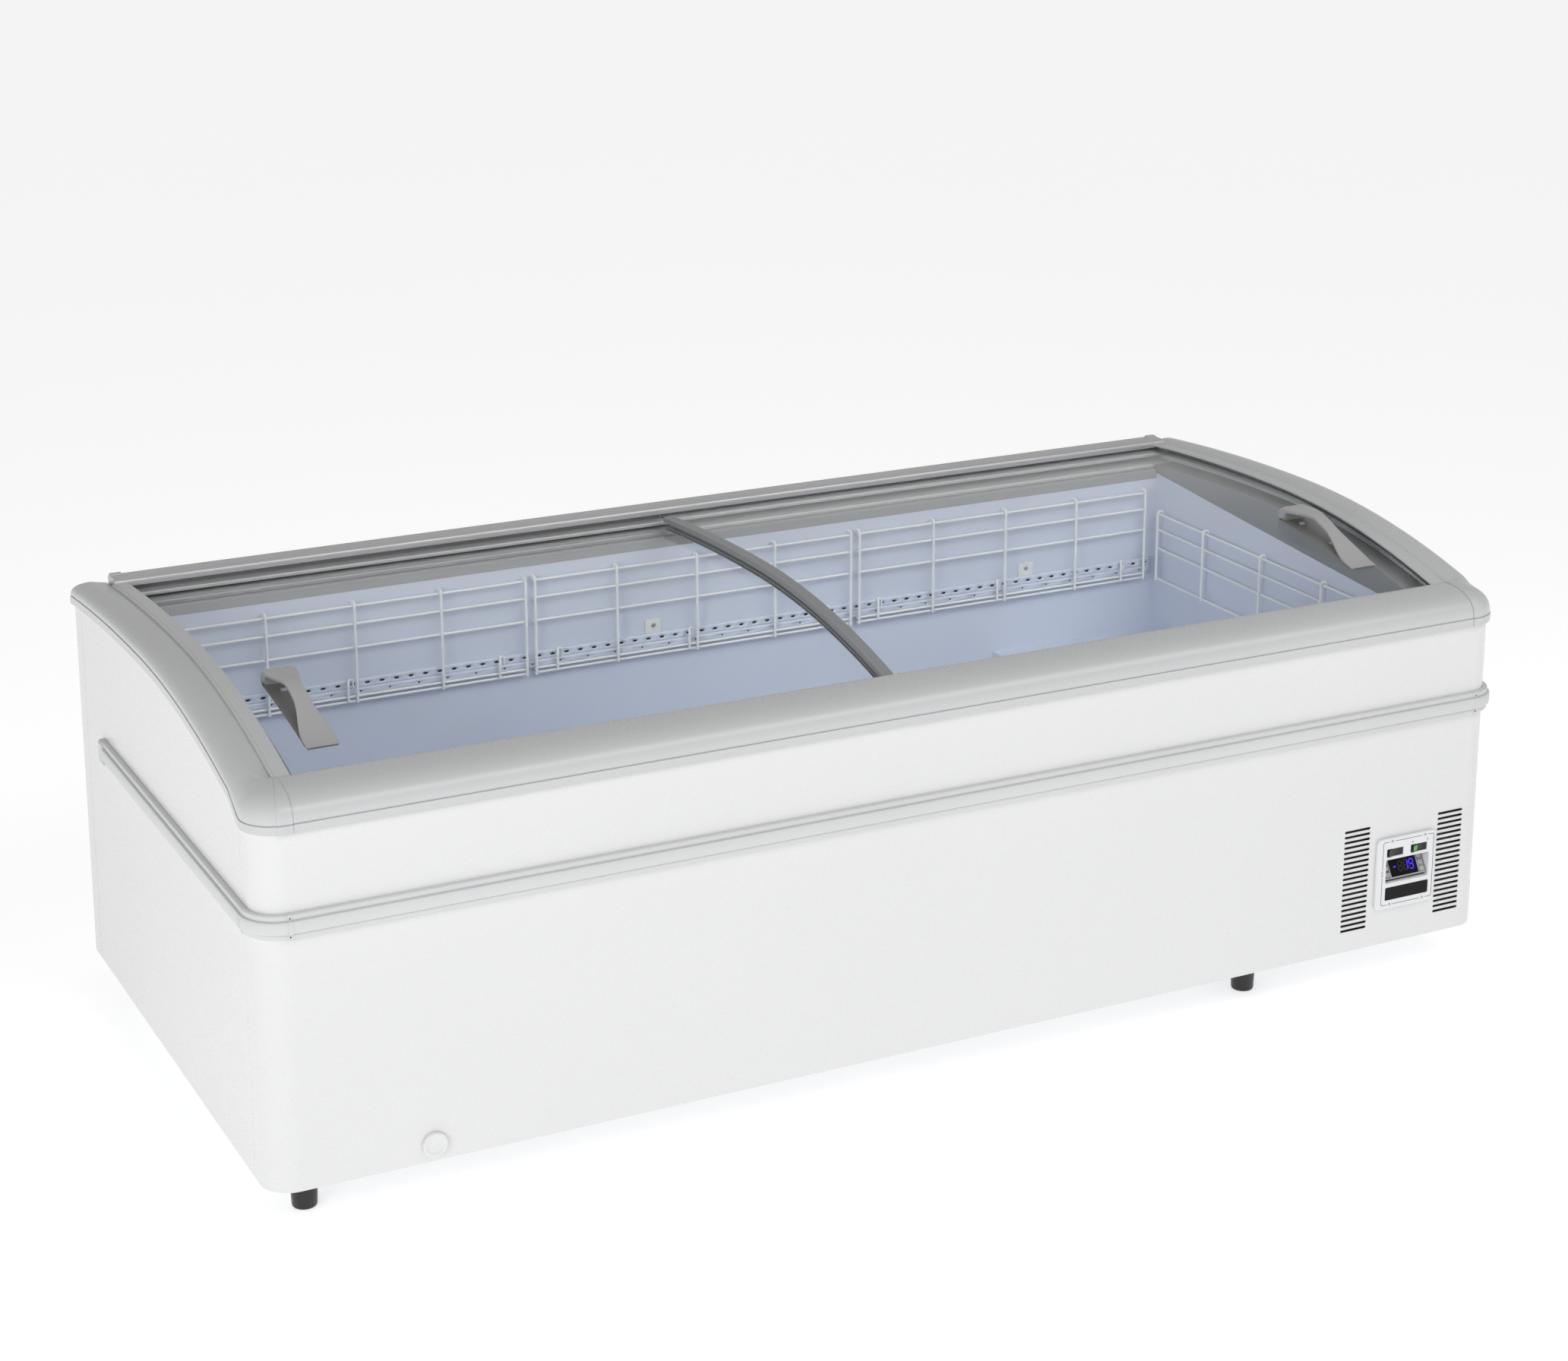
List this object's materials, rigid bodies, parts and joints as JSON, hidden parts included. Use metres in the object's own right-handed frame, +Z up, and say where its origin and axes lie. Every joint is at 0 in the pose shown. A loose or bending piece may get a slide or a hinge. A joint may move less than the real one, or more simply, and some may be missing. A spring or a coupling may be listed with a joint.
{
  "type": "chest freezer",
  "caption": "Free-standing chest freezer for a shop floor: an insulated tub on feet, closed by curved glass lids that slide past each other in an arched frame.",
  "frame": {"origin": "on the floor, under the middle of the whole object's bounding box", "axes": "+X along the length towards the right-hand end as seen from the front, +Y from the front with the controls to the rear, +Z up"},
  "size_m": [2.104, 0.942, 0.7144],
  "materials": {
    "painted_white": "smooth semi-gloss white paint",
    "grey_frame": "smooth satin grey moulding",
    "dark_frame": "satin dark grey moulding",
    "liner_white": "smooth bluish-white coated sheet",
    "rail_aluminium": "satin anodised extrusion",
    "lid_glass": "clear curved safety glass",
    "black_moulding": "matt black moulding",
    "white_moulding": "satin white moulding",
    "display_smoke": "dark gloss display window",
    "foot_rubber": "matt black",
    "coated_wire": "white plastic-coated wire",
    "zinc_sheet": "galvanised sheet",
    "foam_core": "rigid polyurethane foam, hidden"
  },
  "bodies": {
    "cabinet": {"base_tray": "zinc_sheet", "bumper_corner_left": "grey_frame", "bumper_corner_right": "grey_frame", "bumper_end_cap_left": "grey_frame", "bumper_end_cap_right": "grey_frame", "bumper_front": "grey_frame", "bumper_left": "grey_frame", "bumper_right": "grey_frame", "compressor": "black_moulding", "condenser": "zinc_sheet", "control_bezel": "white_moulding", "controller_case": "dark_frame", "cord_gland": "black_moulding", "display_window": "display_smoke", "end_frame_left": "grey_frame", "end_frame_right": "grey_frame", "fan_motor": "black_moulding", "floor_rack": "coated_wire", "foam_body": "foam_core", "foot_1": "foot_rubber", "foot_2": "foot_rubber", "foot_3": "foot_rubber", "foot_4": "foot_rubber", "front_panel": "painted_white", "front_rail": "grey_frame", "inner_end_panel_left": "dark_frame", "inner_end_panel_right": "dark_frame", "inner_liner": "liner_white", "rear_grille": "zinc_sheet", "rear_panel": "painted_white", "rear_rail": "rail_aluminium", "rear_trim": "dark_frame", "side_panel_left": "painted_white", "side_panel_right": "painted_white", "support_strip": "liner_white", "wire_grid_front": "coated_wire", "wire_grid_left": "coated_wire", "wire_grid_rear_left": "coated_wire", "wire_grid_rear_middle": "coated_wire", "wire_grid_rear_right": "coated_wire", "wire_grid_right": "coated_wire"},
    "left_lid": {"left_lid_glass": "lid_glass", "left_lid_handle": "grey_frame", "left_lid_left_profile": "grey_frame", "left_lid_right_profile": "grey_frame"},
    "right_lid": {"right_lid_glass": "lid_glass", "right_lid_handle": "grey_frame", "right_lid_left_profile": "grey_frame", "right_lid_right_profile": "grey_frame"},
    "fan": {"fan_blades": "black_moulding"},
    "switch_left": {"rocker_left": "black_moulding"},
    "switch_right": {"rocker_right": "black_moulding"},
    "plug": {"drain_plug": "white_moulding"},
    "key_1": {"button_1": "dark_frame"},
    "key_2": {"button_2": "dark_frame"},
    "key_3": {"button_3": "dark_frame"},
    "key_4": {"button_4": "dark_frame"},
    "key_5": {"button_5": "dark_frame"},
    "key_6": {"button_6": "dark_frame"}
  },
  "joints": [
    {"name": "left_lid_slide", "type": "slide", "parent": "cabinet", "child": "left_lid", "axis": [1, 0, 0], "range_m": [0, 0.8]},
    {"name": "right_lid_slide", "type": "slide", "parent": "cabinet", "child": "right_lid", "axis": [1, 0, 0], "range_m": [-0.8, 0]},
    {"name": "fan_spin", "type": "hinge", "parent": "cabinet", "child": "fan", "pos_m": [0.87, -0.3, 0.184], "axis": [0, 1, 0], "continuous": true},
    {"name": "switch_left_rock", "type": "hinge", "parent": "cabinet", "child": "switch_left", "pos_m": [0.8527, -0.458, 0.2245], "axis": [0, 0, 1], "range_deg": [-16, 0]},
    {"name": "switch_right_rock", "type": "hinge", "parent": "cabinet", "child": "switch_right", "pos_m": [0.9005, -0.458, 0.2245], "axis": [0, 0, 1], "range_deg": [-16, 0]},
    {"name": "key_1_press", "type": "slide", "parent": "cabinet", "child": "key_1", "axis": [0, 0.866, -0.5], "range_m": [0, 0.001], "stiffness_N_per_m": 300},
    {"name": "key_2_press", "type": "slide", "parent": "cabinet", "child": "key_2", "axis": [0, 0.866, -0.5], "range_m": [0, 0.001], "stiffness_N_per_m": 300},
    {"name": "key_3_press", "type": "slide", "parent": "cabinet", "child": "key_3", "axis": [0, 0.866, -0.5], "range_m": [0, 0.001], "stiffness_N_per_m": 300},
    {"name": "key_4_press", "type": "slide", "parent": "cabinet", "child": "key_4", "axis": [0, 0.866, -0.5], "range_m": [0, 0.001], "stiffness_N_per_m": 300},
    {"name": "key_5_press", "type": "slide", "parent": "cabinet", "child": "key_5", "axis": [0, 0.866, -0.5], "range_m": [0, 0.001], "stiffness_N_per_m": 300},
    {"name": "key_6_press", "type": "slide", "parent": "cabinet", "child": "key_6", "axis": [0, 0.866, -0.5], "range_m": [0, 0.001], "stiffness_N_per_m": 300},
    {"name": "plug_pull", "type": "slide", "parent": "cabinet", "child": "plug", "axis": [0, -1, 0], "range_m": [0, 0.045]}
  ]
}
